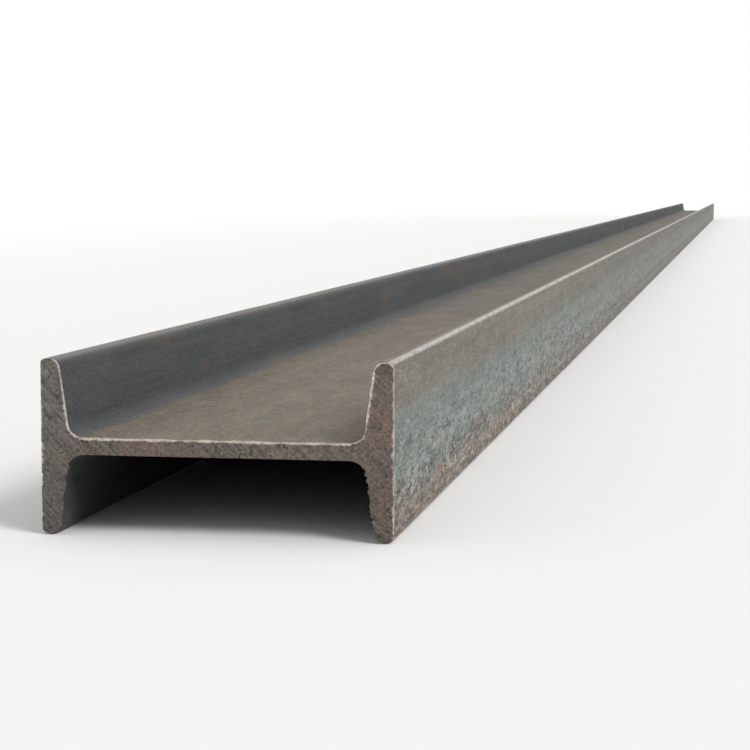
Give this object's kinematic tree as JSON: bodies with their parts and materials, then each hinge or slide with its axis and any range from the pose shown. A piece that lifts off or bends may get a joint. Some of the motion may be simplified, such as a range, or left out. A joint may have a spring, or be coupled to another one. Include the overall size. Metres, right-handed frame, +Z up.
{
  "type": "steel i-beam",
  "caption": "Straight length of hot-rolled steel I-beam with tapered flanges, rounded roots and toes, and square-sawn ends, lying with its web level.",
  "frame": {"origin": "on the floor under the middle of the beam: halfway along it, under the web's centre line, level with the lower flange edges", "axes": "+Y along the beam, from the end seen in front to the far end; +X across the section's height, from one flange to the other; +Z up, across the flanges' width"},
  "size_m": [0.1, 6, 0.05],
  "materials": {
    "rolled_steel": "hot-rolled mill scale, dulled by dust and a light bloom of rust; the sawn ends are granular grey-brown"
  },
  "bodies": {
    "root": {"i_beam": "rolled_steel"}
  },
  "joints": []
}
